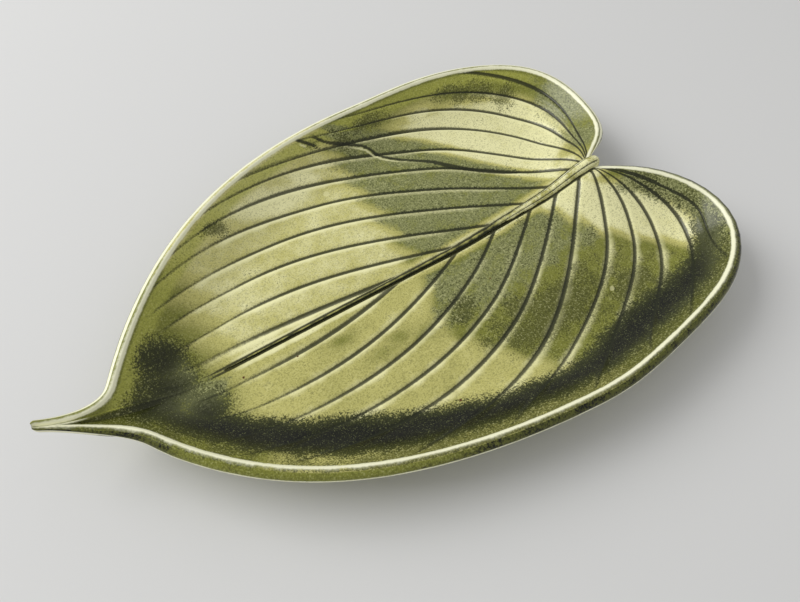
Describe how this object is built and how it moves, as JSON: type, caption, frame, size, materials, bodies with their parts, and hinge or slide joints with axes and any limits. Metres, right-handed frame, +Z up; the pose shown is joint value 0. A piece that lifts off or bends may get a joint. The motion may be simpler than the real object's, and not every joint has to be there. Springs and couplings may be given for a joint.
{
  "type": "leaf shaped plate",
  "caption": "Shallow glazed ceramic dish in the shape of a heart-based leaf, with drawn side veins, a raised midrib ending in a stem stub, a square-cut rim, a drawn-out tip and a foot ring.",
  "frame": {"origin": "middle of the dish's outline, on the table under the foot ring", "axes": "+X from the tip towards the lobes, +Y to the left of that direction, +Z up out of the dish"},
  "size_m": [0.2736, 0.1794, 0.03],
  "materials": {
    "olive_glaze": "glossy",
    "pale_glaze": "glossy",
    "bare_clay": "matt"
  },
  "bodies": {
    "root": {"leaf_bowl": "olive_glaze", "midrib_coil": "pale_glaze", "foot_ring": "bare_clay"}
  },
  "joints": []
}
